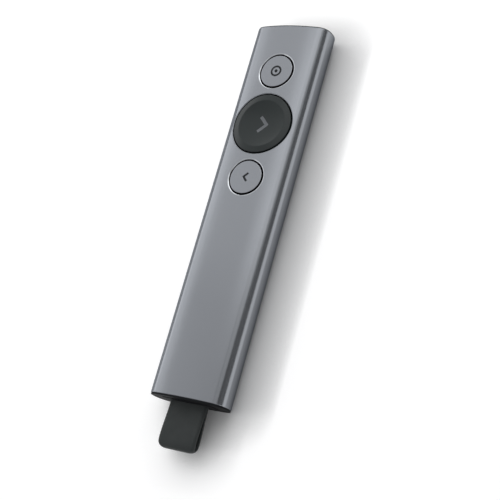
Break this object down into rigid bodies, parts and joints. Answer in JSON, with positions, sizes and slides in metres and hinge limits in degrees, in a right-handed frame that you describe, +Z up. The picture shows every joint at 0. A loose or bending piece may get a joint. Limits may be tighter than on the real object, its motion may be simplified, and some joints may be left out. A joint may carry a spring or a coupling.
{
  "type": "presentation clicker",
  "caption": "Flat oval aluminium remote with push buttons near its nose and a USB receiver that pulls out of its tail by a rubber loop.",
  "frame": {"origin": "middle of the outline, strap included, on the surface that it lies on", "axes": "+Y along the length towards the nose, +Z up through the buttons, +X across to the right as the buttons face the user"},
  "size_m": [0.0282, 0.1466, 0.0123],
  "materials": {
    "anodised_aluminium": "bead blasted and anodised grey, satin",
    "cap_plastic": "moulded, fine spark texture",
    "button_plastic": "moulded, soft satin",
    "chevron_grey": "moulded grey inlay",
    "mark_paint": "dark paint in an engraving",
    "strap_rubber": "moulded silicone rubber, matt",
    "carrier_plastic": "moulded",
    "board_laminate": "green solder mask",
    "switch_cover": "stamped cover",
    "plunger_plastic": "moulded",
    "plated_steel": "bright nickel plate",
    "screw_steel": "zinc plate",
    "blade_plastic": "moulded",
    "contact_gold": "gold plate",
    "chip_resin": "moulded resin",
    "antenna_ceramic": "fired ceramic",
    "cell_foil": "laminated foil pouch",
    "pad_foam": "foam",
    "lead_insulation": "smooth",
    "connector_plastic": "moulded",
    "cradle_rubber": "moulded"
  },
  "bodies": {
    "handset": {"body_shell": "anodised_aluminium", "nose_cap": "cap_plastic", "tail_cap": "cap_plastic", "chassis": "carrier_plastic", "receiver_bay": "carrier_plastic", "button_guide": "carrier_plastic", "main_board": "board_laminate", "pointer_switch": "switch_cover", "next_switch": "switch_cover", "back_switch": "switch_cover", "charging_socket": "plated_steel", "radio_shield": "plated_steel", "vibration_motor": "plated_steel", "guide_screws": "screw_steel", "board_screws": "screw_steel", "socket_tongue": "blade_plastic", "control_chip": "chip_resin", "charge_chip": "chip_resin", "motion_sensor": "chip_resin", "antenna": "antenna_ceramic", "battery_cell": "cell_foil", "battery_pad": "pad_foam", "battery_leads": "lead_insulation", "battery_plug": "connector_plastic", "motor_cradle": "cradle_rubber"},
    "pointer_key": {"pointer_button": "anodised_aluminium", "pointer_mark": "mark_paint", "pointer_plunger": "plunger_plastic"},
    "next_key": {"next_button": "button_plastic", "next_chevron": "chevron_grey", "next_plunger": "plunger_plastic"},
    "back_key": {"back_button": "anodised_aluminium", "back_mark": "mark_paint", "back_plunger": "plunger_plastic"},
    "receiver": {"receiver_body": "cap_plastic", "plug_shell": "plated_steel", "plug_blade": "blade_plastic", "plug_contacts": "contact_gold", "receiver_board": "board_laminate", "receiver_chip": "chip_resin", "pull_strap": "strap_rubber"}
  },
  "joints": [
    {"name": "pointer_press", "type": "slide", "parent": "handset", "child": "pointer_key", "axis": [0, 0, -1], "range_m": [0, 0.0003], "stiffness_N_per_m": 800},
    {"name": "next_press", "type": "slide", "parent": "handset", "child": "next_key", "axis": [0, 0, -1], "range_m": [0, 0.0003], "stiffness_N_per_m": 800},
    {"name": "back_press", "type": "slide", "parent": "handset", "child": "back_key", "axis": [0, 0, -1], "range_m": [0, 0.0003], "stiffness_N_per_m": 800},
    {"name": "receiver_pull", "type": "slide", "parent": "handset", "child": "receiver", "axis": [0, -1, 0], "range_m": [0, 0.03]}
  ]
}
